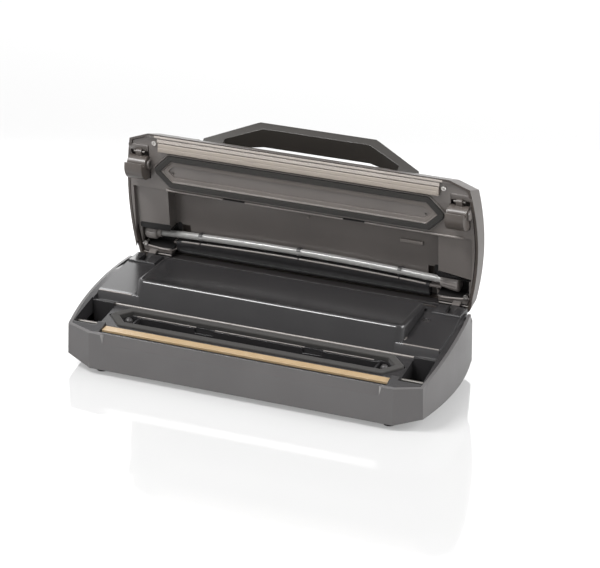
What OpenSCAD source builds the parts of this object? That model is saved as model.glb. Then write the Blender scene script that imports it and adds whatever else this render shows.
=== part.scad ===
// Kitchen vacuum sealer: a base with a trough and a heated seal strip, and a lid that swings
// over it. The lid carries the press handle, two turning claws and the accessory hose.
// Millimetres, +Z up, X across. The part stands open, as it is left ready for use.

/* [Base] */
// Half the width of the base where the corner facet ends
corner_half = 187.2; // [180:0.2:200]
// Width of each corner facet, across the part
corner_w = 27.2; // [26:0.2:32]
// How far the sides bow out beyond the corner facets
side_bow = 7.5; // [4:0.5:9]
// How far the sides lean in from the bottom edge to the rim
side_lean = 3.4; // [2:0.2:5]
// Depth of the corner facet, front to rear
facet_depth = 8.5; // [6:0.5:12]
// Depth of the base from front face to rear face
base_depth = 171; // [168:1:180]
// Radius of the two rear corners, seen from above
rear_radius = 20; // [12:1:28]
// Height of the base underside above the table
foot_h = 5.7; // [4:0.1:9]
// Height of the lower side edge, where the underside bevel ends
bevel_top = 13.8; // [11:0.2:17]
// Wall thickness of the housings
wall = 3; // [2.2:0.1:3.4]
// Height of the crease across the front face
crease_z = 34; // [28:0.5:38]
// How far the band above the crease leans back
band_lean = 2.7; // [1.5:0.1:3.2]

/* [Rim and hinge] */
// Front-to-rear place of the rim plane's front edge
rim_y = 9.5; // [8:0.5:11]
// Height of the rim plane's front edge
rim_z = 46.5; // [45.5:0.5:50]
// Slope of the rim plane, rising to the rear
rim_tilt = 8.54; // [7.5:0.02:9]
// Crown of the rim line at mid depth
rim_crown = 3.5; // [2:0.5:4.5]
// Length of the rim plane along its slope
rim_len = 142; // [140:1:144]
// Distance of the hinge axis from the rear face
hinge_back = 21.8; // [21.4:0.1:22.2]
// How far the hinge axis lies below the rim plane
hinge_drop = 9.4; // [9:0.1:9.8]
// Angle at which the lid stands open
lid_open = 91.2; // [60:0.2:92]
// Diameter of the hinge pins
hinge_pin_d = 5; // [4:0.5:6]

/* [Sealing] */
// Distance of each end of the seal strip from the corner of the base
strip_inset = 36.9; // [36:0.1:46]
// Front-to-rear width of the seal strip
strip_w = 10; // [8:0.5:10.5]
// Distance from the front face to the seal strip
strip_y = 10; // [9.5:0.1:10.5]
// Height of the seal strip's upper face
strip_z = 45; // [44.6:0.1:45.2]
// Thickness of the seal strip
strip_t = 0.4; // [0.2:0.1:0.8]
// Distance of the gaskets' pointed ends from the corner of the base
gasket_inset = 30.2; // [30:0.2:36]
// Length of each gasket's pointed end
gasket_point = 18; // [15:0.5:26]
// Place of the gaskets' front edge along the rim plane
gasket_front = 13.2; // [13.2:0.2:14.4]
// Front-to-rear size of the gaskets
gasket_depth = 36; // [33:0.5:36.5]
// Width of the gasket band
gasket_band = 8; // [6:0.5:9]
// Height of each gasket
gasket_h = 5; // [4:0.5:6]
// Depth of the trough below the rim
trough_deep = 24; // [16:1:28]
// Wall thickness of the drip tray
tray_wall = 1.6; // [1.2:0.1:2.2]

/* [Raised box] */
// Distance of the raised box's ends from the corner of the base
box_inset = 44.2; // [43.4:0.2:60]
// Front-to-rear place of the box's front wall
box_y = 71; // [70:0.5:80]
// Distance of the box's rear wall from the rear face
box_back = 30; // [30:0.5:38]
// Height of the box's top
box_z = 76; // [72:0.5:76.5]

/* [Lid] */
// Height of the lid shell above the rim plane, at its front
lid_h = 35.5; // [35:0.5:40]
// Fall of the lid's top from front to rear
lid_fall = 5; // [2:0.5:5]
// Slope of the lid's front face, as run back over the height
front_run = 14; // [11:0.5:16]
// How far the lid's sides lean in over the height
lid_lean = 5.5; // [3:0.5:8]
// Wall thickness of the lid shell
lid_wall = 2.6; // [2:0.1:2.8]
// Closed clearance between the lid and the base
close_gap = 0.4; // [0.3:0.05:0.8]
// Height of the recess floor over the raised box
recess_w = 23.6; // [23.2:0.2:24]

/* [Handle] */
// Half the length of the grip bar
bar_half = 62.5; // [45:0.5:70]
// Half the width of the handle at the lid
handle_half = 116; // [104:1:118]
// Height of the grip bar's outer face above the rim plane
bar_top = 61; // [58:0.5:66]
// Thickness of the grip bar
bar_t = 6.5; // [5:0.5:9]
// Width of the grip bar along the rim plane
bar_w = 24.5; // [22:0.5:26]
// Press travel of the handle
press_angle = 8; // [5:0.5:8]

/* [Claws] */
// Outer radius of the claws
claw_r = 16; // [15:0.5:16]
// Gap between a claw and each side of its pocket
claw_side = 2.6; // [2.6:0.1:4]
// Diameter of the claw shafts
claw_shaft_d = 6; // [5:0.5:7]
// Diameter of the latch keepers
keeper_d = 3.6; // [3:0.2:3.8]

/* [Hose] */
// Outer diameter of the accessory hose
hose_d = 7.5; // [6:0.25:7.75]
// Distance of the hose's ends from the corner of the base, on average
hose_inset = 34.2; // [34.2:0.2:50]
// How far the hose bows at mid length
hose_bow = 4; // [2:0.5:6]

/* [Buttons] */
// Diameter of the round buttons
button_d = 14; // [10:0.5:16]
// Distance between neighbouring buttons
button_pitch = 24; // [20:1:30]
// Travel of a button
button_travel = 1; // [0.6:0.1:1.4]

/* [Hidden] */
eps = 0.01;

// ---- derived values ----
// The whole part is moved so that its box is centred on the origin
front_half = corner_half - corner_w;
hinge_y = base_depth - hinge_back;
hinge_z = rim_z + (hinge_y - rim_y) * tan(rim_tilt) - hinge_drop;
bar_front = -8.5;
bar_rear = bar_front + bar_w;
// Front-to-rear place of a point of the open lid
function lid_point_y(u, w) = let (
        y = rim_y + u * cos(rim_tilt) - w * sin(rim_tilt) - hinge_y,
        z = rim_z + u * sin(rim_tilt) + w * cos(rim_tilt) - hinge_z)
    hinge_y + cos(lid_open) * y + sin(lid_open) * z;
y_centre = lid_point_y(bar_rear, bar_top) / 2;
crown_r = (pow(rim_len / 2, 2) + pow(rim_crown, 2)) / (2 * rim_crown);
lean_h = 47.2;
body_gap = 0.15;
rim_tan = tan(rim_tilt);
strip_len = 2 * (corner_half - strip_inset);
gasket_tip = corner_half - gasket_inset;
gasket_flat = gasket_tip - gasket_point;
box_half = corner_half - box_inset;
box_rear = base_depth - box_back;
gasket_rear = gasket_front + gasket_depth;
gasket_mid = gasket_front + gasket_depth / 2;
seal_face = -1.5;
seal_split = 0.15;
deck_plane = -3.2;
trough_shift = 0.6;
gasket_seat = seal_face - seal_split - gasket_h;
tip_slope = (gasket_tip - gasket_flat) / (gasket_depth / 2);
groove_z = 41.5;
notch_half = front_half - 14.7;
bar_seat_z = 37;
deck_floor_z = 20;
step_y = 62.5;
step_top_z = 61;
deck_rear_z = 68;
deck_flat_y = base_depth - 40;
rear_step_y = hinge_y - 1.2;
shelf_z = 57;
skin = 3;
pocket_in = strip_len / 2 + 8.5;
pocket_out = corner_half - 4;
field_half = corner_half - 5.2;
field_rear = corner_half - 7.6;
field_y = base_depth - 63;
field_side = pocket_in + 0.6;
pocket_y0 = 14;
pocket_y1 = 56;
pocket_z = 24;
arm_gap = 0.4;
arm_slot_y = hinge_y - 13.2;
arm_r = hinge_pin_d / 2 + 2;
tower_x1 = corner_half - 7.2;
tower_x0 = tower_x1 - 30;
arm_x1 = tower_x1 - 10;
arm_x0 = arm_x1 - 8;
tower_y0 = hinge_y - 11.2;
tower_y1 = tower_y0 + 17;
cover_t = 1.8;
foot_d = 13;
foot_x = front_half - 8.2;
foot_y_front = 14;
foot_y_rear = base_depth - 22;
plate_x = front_half - 20;
plate_y0 = 26;
plate_y1 = base_depth - 38;
plate_t = 2.4;
port_x = gasket_flat - 3.5;
port_d = 8;
tray_half = gasket_flat - 10.4;
tray_gap = 0.8;
inlet_x = 40 - front_half;
inlet_w = 22;
inlet_h = 13;
inlet_z = 27;

// Rotation and place of the rim plane: X across, Y along the slope, Z away from the base
module on_rim() translate([0, rim_y, rim_z]) rotate([rim_tilt, 0, 0]) children();

// Carries a closed lid piece, drawn in the rim plane, to where the open lid holds it
module on_lid() translate([0, hinge_y, hinge_z]) rotate([-lid_open, 0, 0])
    translate([0, -hinge_y, -hinge_z]) on_rim() children();

module both_sides() {
    children();
    mirror([1, 0, 0]) children();
}

// Right half of an outline: flat front, corner facet, bowed side, round rear corner
function half_ring(flat, corner, bow, y0, facet, y1, r) = concat(
    [[flat, y0]],
    [for (i = [0:12]) let (t = i / 12)
        [corner + bow * (1 - pow(2 * t - 1, 2)), y0 + facet + t * (y1 - r - y0 - facet)]],
    [for (a = [18:18:90]) [corner - r + r * cos(a), y1 - r + r * sin(a)]]);
function whole_ring(h) = concat(h, [for (i = [len(h) - 1:-1:0]) [-h[i].x, h[i].y]]);
function at_height(ring, z, fall = 0) = [for (p = ring) [p.x, p.y, z - fall * p.y]];

// Solid through a stack of outlines that all have the same number of points
module loft(rings) {
    n = len(rings[0]);
    last = (len(rings) - 1) * n;
    polyhedron(
        points = [for (r = rings) each r],
        faces = concat(
            [[for (i = [0:n - 1]) i]],
            [for (k = [0:len(rings) - 2], i = [0:n - 1]) let (a = k * n, j = (i + 1) % n)
                each [[a + i, a + n + i, a + n + j], [a + i, a + n + j, a + j]]],
            [[for (i = [n - 1:-1:0]) last + i]]),
        convexity = 6);
}

// Outline of the base at a height, drawn in by a distance
function base_ring(z, inset = 0) = let (
        lean = side_lean * (z - bevel_top) / lean_h,
        flat = front_half - 0.15 * inset,
        corner = corner_half - 0.45 * lean - inset,
        facet = facet_depth * (corner - flat) / (corner_half - front_half))
    at_height(whole_ring(half_ring(flat, corner, side_bow - 0.55 * lean, inset, facet,
        base_depth - inset, rear_radius - inset)), z);
function base_sole(z, inset = 0) = at_height(whole_ring(half_ring(front_half - inset, front_half + 1 - inset,
    2, inset, 1, base_depth - 4 - inset, rear_radius * 0.7 - inset)), z);

// All that lies above the crowned rim line, lowered by a distance
module above_crown(drop) on_rim() difference() {
    translate([-250, -60, -30]) cube([500, 320, 150]);
    translate([0, rim_len / 2, rim_crown - crown_r - drop])
        rotate([0, 90, 0]) cylinder(r = crown_r, h = 520, center = true, $fn = 360);
}

// Side profile drawn as (y, z) points and run across the part
module across(half, points) translate([-half, 0, 0]) rotate([90, 0, 90])
    linear_extrude(2 * half) polygon(points);

// Space that the lid's hinge arms swing in
module arm_slots() both_sides() translate([arm_x0 - arm_gap, arm_slot_y, hinge_z - arm_r - 0.5])
    cube([arm_x1 - arm_x0 + 2 * arm_gap, 28, 40]);

module pin_bores(d) translate([0, hinge_y, hinge_z]) rotate([0, 90, 0])
    cylinder(d = d, h = 2 * tower_x1 + 20, center = true, $fn = 48);

module foot_places() for (y = [foot_y_front, foot_y_rear]) both_sides() translate([foot_x, y, 0]) children();
module screw_places() for (x = [-1, 1], y = [plate_y0 + 8, plate_y1 - 8])
    translate([x * (plate_x - 8), y, foot_h]) children();

// Hexagon with two long sides and two pointed ends, drawn in the rim plane
module hexagon(inset) {
    tip = gasket_tip - inset * sqrt(1 + tip_slope * tip_slope);
    flat = tip - (gasket_depth / 2 - inset) * tip_slope;
    polygon([[-flat, gasket_front + inset], [flat, gasket_front + inset], [tip, gasket_mid],
        [flat, gasket_rear - inset], [-flat, gasket_rear - inset], [-tip, gasket_mid]]);
}

// ---- base ----
module base_shell() color([0.42, 0.41, 0.41]) difference() {
    loft([base_sole(foot_h), base_ring(bevel_top), base_ring(80)]);
    loft([base_sole(foot_h + wall, wall), base_ring(bevel_top + wall, wall), base_ring(81, wall)]);
    above_crown(close_gap);
    translate([-250, rear_step_y, shelf_z]) cube([500, 60, 60]);
    // the band above the crease leans back between two small notches
    hull() for (m = [0, 1]) mirror([m, 0, 0]) {
        translate([0, -1, crease_z]) cube([notch_half, 1, eps]);
        translate([0, -1, rim_z]) cube([notch_half + 3, 1, eps]);
        translate([0, -1, rim_z]) cube([notch_half - 1.5, 1 + band_lean * (rim_z - crease_z) / 10, eps]);
    }
    translate([-plate_x, plate_y0, foot_h - 1]) cube([2 * plate_x, plate_y1 - plate_y0, 10]);
    translate([inlet_x - inlet_w / 2, base_depth - 10, inlet_z]) cube([inlet_w, 20, inlet_h]);
    foot_places() translate([0, 0, foot_h - 1]) cylinder(d = 5, h = 10, $fn = 32);
}

module bottom_plate() color([0.2, 0.2, 0.21]) difference() {
    union() {
        translate([-plate_x + body_gap, plate_y0 + body_gap, foot_h])
            cube([2 * (plate_x - body_gap), plate_y1 - plate_y0 - 2 * body_gap, plate_t]);
        screw_places() cylinder(d = 9, h = 8, $fn = 32);
    }
    for (i = [-4:4]) translate([i * 9 - 1.5, plate_y1 - 46, foot_h - 1]) cube([3, 26, 8]);
    screw_places() translate([0, 0, -1]) cylinder(d = 3.2, h = 12, $fn = 24);
}

module bottom_screws() color([0.6, 0.6, 0.62]) screw_places() difference() {
    union() {
        translate([0, 0, -1.6]) cylinder(d = 6.4, h = 1.6, $fn = 32);
        cylinder(d = 3.2, h = 7, $fn = 24);
    }
    for (a = [0, 90]) rotate(a) translate([-2, -0.5, -2]) cube([4, 1, 1.2]);
}

module feet() color([0.07, 0.07, 0.07]) foot_places() difference() {
    union() {
        cylinder(d1 = foot_d - 1.6, d2 = foot_d, h = 0.8, $fn = 48);
        translate([0, 0, 0.8]) cylinder(d = foot_d, h = foot_h - 0.8, $fn = 48);
        cylinder(d = 5, h = foot_h + wall, $fn = 32);
    }
    translate([0, 0, -0.01]) cylinder(d = 4, h = 1.2, $fn = 32);
}

// Heights of the rim plane and of planes parallel to it
function plane_z(y, w) = rim_z + (y - rim_y) * rim_tan + w / cos(rim_tilt);

module deck_profile() across(field_half, [
    [wall + body_gap, deck_floor_z], [wall + body_gap, rim_z], [step_y - 4, 54],
    [step_y, plane_z(step_y, deck_plane)], [step_y + 8, step_top_z], [deck_flat_y, deck_rear_z],
    [rear_step_y, deck_rear_z], [rear_step_y, shelf_z], [base_depth - wall - body_gap, shelf_z],
    [base_depth - wall - body_gap, shelf_z - skin], [rear_step_y - 2 * skin, shelf_z - skin],
    [rear_step_y - 2 * skin, deck_rear_z - skin], [step_y + 11, step_top_z - skin],
    [step_y + 5, 52], [step_y + 2, deck_floor_z]]);

module base_deck() color([0.38, 0.37, 0.37]) difference() {
    intersection() {
        union() {
            deck_profile();
            both_sides() translate([field_half - eps, wall, deck_floor_z + 18])
                cube([20, rear_step_y - wall - skin, rim_z - deck_floor_z]);
            both_sides() translate([tower_x0, tower_y0, hinge_z - 9])
                cube([tower_x1 - tower_x0, tower_y1 - tower_y0, deck_rear_z + 9 - hinge_z]);
        }
        loft([base_ring(bevel_top + wall, wall + body_gap), base_ring(81, wall + body_gap)]);
    }
    difference() {
        above_crown(close_gap);
        translate([0, 0, 40]) linear_extrude(60) offset(delta = -2 * eps) polygon([[-field_half, step_y], [field_half, step_y],
            [field_half, field_y], [field_rear, deck_flat_y], [field_rear, 2 * base_depth],
            [-field_rear, 2 * base_depth], [-field_rear, deck_flat_y], [-field_half, field_y]]);
    }
    // channel for the heater bar and the groove in front of it
    translate([-strip_len / 2 - 0.6, 4.2, groove_z]) cube([strip_len + 1.2, strip_y - 4, 20]);
    translate([-strip_len / 2 - 0.3, strip_y - 0.3, bar_seat_z]) cube([strip_len + 0.6, strip_w + 0.6, 20]);
    // seal field, gasket seat and trough
    on_rim() {
        translate([-field_side, strip_y + strip_w - rim_y, deck_plane])
            cube([2 * field_side, step_y - strip_y - strip_w + 1, 40]);
        translate([0, 0, gasket_seat]) linear_extrude(60) hexagon(-body_gap);
    }
    translate([0, 0, rim_z - trough_deep]) linear_extrude(60)
        trough_place() hexagon(gasket_band);
    // pockets that take the claws
    both_sides() {
        translate([pocket_in, pocket_y0, pocket_z]) cube([pocket_out - pocket_in, pocket_y1 - pocket_y0, 60]);
        keeper_place() cylinder(d = keeper_d, h = 2 * (pocket_out - pocket_in), center = true, $fn = 32);
    }
    arm_slots();
    pin_bores(hinge_pin_d);
    // seat of the raised box
    translate([-box_half - body_gap, box_y - body_gap, step_top_z - 1.5])
        cube([2 * (box_half + body_gap), box_rear - box_y + 2 * body_gap, 40]);
    translate([-box_half + 8, box_y + 14, 40]) cube([2 * (box_half - 8), box_rear - box_y - 22, 40]);
    translate([switch_x - 4, switch_y - 3, 40]) cube([8, 6, 40]);
}

// Steel bars across the hook pockets
keeper_u = 25 - 10.3;
keeper_w = -5.8;
module keeper_place() on_rim() translate([(pocket_in + pocket_out) / 2, keeper_u, keeper_w])
    rotate([0, 90, 0]) children();
module latch_keepers() color([0.7, 0.7, 0.72]) both_sides() keeper_place()
    translate([0, 0, -(pocket_out - pocket_in) / 2 - 3])
        cylinder(d = keeper_d, h = pocket_out - pocket_in + 3.6, $fn = 32);

// Dark raised box with rounded corners and a raised edge round its top
module box_outline(inset) translate([0, (box_y + box_rear) / 2]) offset(r = 8 - inset)
    square([2 * box_half - 16, box_rear - box_y - 16], center = true);
module raised_cover() color([0.2, 0.19, 0.2]) difference() {
    union() {
        hull() {
            translate([0, 0, step_top_z - 1.4]) linear_extrude(1) box_outline(0, $fn = 32);
            translate([0, 0, box_z - 2]) linear_extrude(0.5) box_outline(0.8, $fn = 32);
            translate([0, 0, box_z - 0.6]) linear_extrude(0.6) box_outline(2.6, $fn = 32);
        }
    }
    translate([0, 0, box_z - 0.5]) linear_extrude(2) box_outline(5, $fn = 32);
    translate([-box_half + 4, box_y + 4, 40]) cube([2 * (box_half - 4), box_rear - box_y - 8, box_z - 43]);
}

module gasket_ring(h) linear_extrude(h) difference() {
    hexagon(0);
    hexagon(gasket_band);
}
module lower_gasket() color([0.17, 0.16, 0.16]) on_rim() translate([0, 0, gasket_seat]) gasket_ring(gasket_h);

module heater_bar() color([0.25, 0.24, 0.24]) difference() {
    translate([-strip_len / 2, strip_y, bar_seat_z])
        cube([strip_len, strip_w, strip_z - strip_t - bar_seat_z]);
    translate([-strip_len / 2 - 1, strip_y + strip_w / 2 - 1.5, strip_z - strip_t - 0.3])
        cube([strip_len + 2, 3, 1]);
}
module heater_wire() color([0.75, 0.73, 0.7])
    translate([-strip_len / 2 + 2, strip_y + strip_w / 2 - 1.4, strip_z - strip_t - 0.3])
        cube([strip_len - 4, 2.8, 0.28]);

// Tan non-stick tape, folded down over the front edge of the heater bar
module seal_strip() color([0.8, 0.68, 0.5]) union() {
    translate([-strip_len / 2, strip_y, strip_z - strip_t]) cube([strip_len, strip_w, strip_t]);
    translate([-strip_len / 2, strip_y - 0.25, strip_z - 2.2]) cube([strip_len, 0.25, 2.2]);
}

// Tray that follows the trough, with two finger notches in its rear edge
tray_z0 = rim_z - trough_deep + 0.3;
tray_z1 = 45.8;
// Outlines on the rim plane, as the level trough floor shows them
module trough_place() translate([0, rim_y + trough_shift]) scale([1, cos(rim_tilt)]) children();
module tray_outline(inset) intersection() {
    trough_place() hexagon(gasket_band + tray_gap + inset);
    translate([-tray_half + inset, 0]) square([2 * (tray_half - inset), 100]);
}
module drip_tray() color([0.13, 0.13, 0.13]) difference() {
    translate([0, 0, tray_z0]) linear_extrude(tray_z1 - tray_z0) tray_outline(0);
    translate([0, 0, tray_z0 + tray_wall]) linear_extrude(60) tray_outline(tray_wall);
    for (x = [-1, 1]) translate([x * 57.5 - 10, rim_y + gasket_mid, tray_z1 - 5]) cube([20, 40, 10]);
}

// Intake domes at both ends of the trough
module suction_ports() color([0.3, 0.29, 0.29]) both_sides() difference() {
    translate([port_x, rim_y + gasket_mid, rim_z - trough_deep]) {
        cylinder(d = port_d, h = 21.5, $fn = 32);
        translate([0, 0, 21.5]) intersection() {
            sphere(d = port_d, $fn = 32);
            translate([0, 0, 5]) cube([20, 20, 10], center = true);
        }
    }
    translate([port_x, rim_y + gasket_mid, 20]) cylinder(d = 3, h = 26, $fn = 24);
    for (a = [0, 60, 120]) translate([port_x, rim_y + gasket_mid, 45]) rotate([90, 0, a])
        cylinder(d = 1.2, h = 20, center = true, $fn = 16);
}

// ---- inside the base ----
switch_x = tower_x0;
switch_y = base_depth - 53;
floor_z = foot_h + plate_t;
pump_x = 60;
pump_y = base_depth - 63;
pump_z = floor_z + 20;
module vacuum_pump() color([0.85, 0.85, 0.82]) difference() {
    union() {
        translate([pump_x - 17, pump_y - 17, floor_z]) cube([34, 34, 34]);
        translate([pump_x - 17, pump_y, pump_z]) rotate([0, -90, 0]) cylinder(d = 30, h = 8, $fn = 48);
        translate([pump_x - 21, pump_y, pump_z + 12]) cylinder(d = 6, h = 10, $fn = 24);
    }
    translate([pump_x + 8, pump_y, pump_z]) rotate([0, 90, 0]) cylinder(d = 8, h = 20, $fn = 32);
}
module pump_motor() color([0.6, 0.6, 0.62]) translate([pump_x + 17, pump_y, pump_z]) rotate([0, 90, 0]) {
    cylinder(d = 32, h = 44, $fn = 64);
    translate([0, 0, 44]) cylinder(d = 10, h = 4, $fn = 32);
    translate([-pump_z + floor_z, -10, 4]) cube([6, 20, 36]);
}
module pump_tube() color([0.75, 0.75, 0.72]) translate([pump_x - 21, pump_y, pump_z + 22]) {
    difference() {
        cylinder(d = 8, h = 6, $fn = 24);
        translate([0, 0, -1]) cylinder(d = 5, h = 8, $fn = 24);
    }
    translate([0, -9, 6]) rotate([0, -90, 0]) rotate([0, 0, 0]) rotate_extrude(angle = 90, $fn = 48)
        translate([9, 0]) circle(d = 8, $fn = 24);
}
module transformer() color([0.55, 0.5, 0.42]) translate([-78, pump_y - 2, floor_z]) {
    translate([-26, -20, 0]) cube([52, 40, 6]);
    translate([-22, -12, 6]) cube([44, 24, 34]);
    difference() {
        translate([-16, -19, 8]) cube([32, 38, 28]);
        translate([-17, -12, 7]) cube([34, 24, 30]);
    }
}
module power_board() color([0.16, 0.36, 0.2]) translate([-20, pump_y - 28, floor_z]) {
    for (x = [2, 46], y = [4, 44]) translate([x, y, 0]) cylinder(d = 5, h = 5, $fn = 24);
    translate([-2, 0, 5]) cube([52, 50, 1.6]);
    translate([6, 8, 6.6]) cube([14, 10, 12]);
    for (x = [28, 40]) translate([x, 34, 6.6]) cylinder(d = 9, h = 14, $fn = 32);
}
module inlet_socket() color([0.08, 0.08, 0.08]) difference() {
    union() {
        translate([inlet_x - inlet_w / 2 + body_gap, base_depth - 16, inlet_z + body_gap])
            cube([inlet_w - 2 * body_gap, 16, inlet_h - 2 * body_gap]);
        translate([inlet_x - inlet_w / 2 - 2, base_depth - wall - 2.2, inlet_z - 2])
            cube([inlet_w + 4, 2, inlet_h + 4]);
    }
    hull() for (x = [-4.6, 4.6]) translate([inlet_x + x, base_depth - 13, inlet_z + inlet_h / 2])
        rotate([-90, 0, 0]) cylinder(d = 8.6, h = 20, $fn = 32);
}
module inlet_pins() color([0.8, 0.78, 0.7]) for (x = [-4.3, 4.3])
    translate([inlet_x + x, base_depth - 13, inlet_z + inlet_h / 2]) rotate([-90, 0, 0]) {
        cylinder(d = 2.4, h = 9, $fn = 24);
        translate([0, 0, 9]) sphere(d = 2.4, $fn = 24);
    }
module lid_switch() color([0.1, 0.1, 0.1]) translate([switch_x, switch_y, 0]) {
    translate([-3.8, -2.8, 58]) cube([7.6, 5.6, deck_z(switch_y) - 58.6]);
    translate([0, 0, 60]) cylinder(d = 3, h = deck_z(switch_y) - 59.4, $fn = 24);
}
function deck_z(y) = step_top_z + (y - step_y - 8) / (deck_flat_y - step_y - 8) * (deck_rear_z - step_top_z);

module hinge_pins() color([0.7, 0.7, 0.72]) both_sides() translate([tower_x0 + 1, hinge_y, hinge_z])
    rotate([0, 90, 0]) cylinder(d = hinge_pin_d, h = tower_x1 - tower_x0 - 1.5, $fn = 48);

module hinge_covers() color([0.4, 0.39, 0.39]) both_sides() difference() {
    hull() {
        translate([tower_x0, tower_y0 - 6, deck_rear_z]) cube([tower_x1 - tower_x0, 23, 0.6]);
        translate([tower_x0 + 0.6, tower_y0 - 5.4, deck_rear_z]) cube([tower_x1 - tower_x0 - 1.2, 21.8, cover_t]);
    }
    translate([arm_x0 - arm_gap, arm_slot_y, 60]) cube([arm_x1 - arm_x0 + 2 * arm_gap, 40, 20]);
}

// ---- lid, drawn closed in the rim plane: X across, Y rearwards, Z outwards ----
lid_front = -9;
lid_corner = corner_half - 5.9;
lid_bow = 7.6;
lid_rear = base_depth - 31;
lid_facet = 8;
lid_rear_r = 8;
lean_span = 30;
zone_face = 1.5;
side_face = 8;
ledge_u = 55.5;
bay_floor = 6.6;
claw_u = 25;
claw_axis_w = -2;
claw_x = pocket_in + claw_side;
claw_w = pocket_out - pocket_in - 2 * claw_side;
claw_boss = 2.1;
slot_inner = 4;
pivot_u = 46;
pivot_w = 20;
leg_in = 94;
leg_gap = 0.7;
handle_pin_d = 5;
hose_u = lid_rear - 26.2;
hose_w = recess_w - hose_d / 2 - 0.85;
hose_span = 2 * (corner_half - hose_inset);
clip_step = 0.356 * hose_span;
clip_t = 0.8;
hose_x = -7.2;
pocket_floor = 25.4;
rear_cut_w = 5;
rear_cut_u = lid_rear - 21;
button_u = lid_rear - 42;
panel_half = 1.5 * button_pitch + 22;
board_w = 25.6;

function lid_ring(w, inset = 0) = let (
        t = w / lean_span,
        flat = front_half - 3 * t - 0.15 * inset,
        corner = lid_corner - 0.8 * lid_lean * t - inset)
    at_height(whole_ring(half_ring(flat, corner, lid_bow - 0.2 * lid_lean * t,
        lid_front + front_run * t + inset, lid_facet * (corner - flat) / (lid_corner - front_half),
        lid_rear - 2 * t - inset, lid_rear_r)), w, lid_fall / lid_rear * max(0, w) / lid_h);

module lid_outside() loft([lid_ring(-6), lid_ring(lid_h - 8), lid_ring(lid_h - 3.5, 1),
    lid_ring(lid_h - 1, 3.5), lid_ring(lid_h, 8)]);
module lid_inside(gap) loft([lid_ring(-7, lid_wall + gap), lid_ring(lid_h - 10, lid_wall + gap),
    lid_ring(lid_h - lid_wall - 1.5 - gap, lid_wall + 3 + gap), lid_ring(lid_h - lid_wall - gap, lid_wall + 8 + gap)]);
module below_crown() translate([0, rim_len / 2, rim_crown - crown_r])
    rotate([0, 90, 0]) cylinder(r = crown_r, h = 520, center = true, $fn = 360);
module rear_wall_cut() translate([-pocket_out + 1, rear_cut_u, -20]) cube([2 * pocket_out - 2, 40, 20 + rear_cut_w]);

// Space in the lid that the handle's legs need while it is pressed
module handle_space() both_sides() translate([leg_in - slot_inner, lid_front - 6, pivot_w - 0.5])
    cube([handle_half - leg_in + slot_inner + leg_gap, pivot_u + 5.6 - lid_front + 6, 40]);
module button_places() for (i = [-1.5:1.5]) translate([i * button_pitch, button_u, 0]) children();

module lid_shell() color([0.42, 0.41, 0.41]) on_lid() difference() {
    lid_outside();
    lid_inside(0);
    below_crown();
    rear_wall_cut();
    handle_space();
    button_places() translate([0, 0, 20]) cylinder(d = button_d + 0.8, h = 20, $fn = 48);
    translate([0, 0, 20]) led_places() cylinder(d = 3.2, h = 20, $fn = 24);
    panel_place() translate([0, 0, -0.8]) linear_extrude(5) panel_outline(body_gap);
}
module led_places() for (i = [-1.5:1.5]) translate([i * button_pitch, button_u - 14, 0]) children();

// The panel lies in a shallow seat in the sloping top of the lid
module panel_place() translate([0, 0, lid_h]) rotate([-atan(lid_fall / lid_rear), 0, 0]) children();
module panel_outline(grow) translate([-panel_half - grow, button_u - 21 - grow]) offset(r = 6, $fn = 32) offset(delta = -6)
    square([2 * (panel_half + grow), 34 + 2 * grow]);
module control_panel() color([0.09, 0.09, 0.1]) on_lid() difference() {
    panel_place() translate([0, 0, -0.8]) linear_extrude(1.1) panel_outline(0);
    button_places() translate([0, 0, 20]) cylinder(d = button_d + 0.8, h = 20, $fn = 48);
    led_places() translate([0, 0, 20]) cylinder(d = 3.2, h = 20, $fn = 24);
}
module led_lenses() color([0.4, 0.75, 0.5]) on_lid() led_places() {
    translate([0, 0, board_w + 1.2]) cylinder(d = 3, h = 4.2, $fn = 24);
    translate([0, 0, board_w + 5.4]) intersection() {
        sphere(d = 3, $fn = 24);
        translate([0, 0, 1]) cube([4, 4, 2], center = true);
    }
}
module control_board() color([0.16, 0.36, 0.2]) on_lid() difference() {
    translate([-panel_half, button_u - 18, board_w]) cube([2 * panel_half, 30, 1.2]);
    for (x = [-1, 1]) translate([x * (panel_half - 4), button_u - 3, board_w - 1]) cylinder(d = 3, h = 4, $fn = 24);
}
module push_button(i) color([0.5, 0.5, 0.5]) on_lid() translate([(i - 1.5) * button_pitch, button_u, board_w + 2.6]) {
    cylinder(d = button_d, h = 6.6, $fn = 64);
    translate([0, 0, 6.6]) cylinder(d1 = button_d, d2 = button_d - 2, h = 0.8, $fn = 48);
    translate([0, 0, 0]) cylinder(d = button_d - 4, h = 7, $fn = 48);
}

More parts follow.
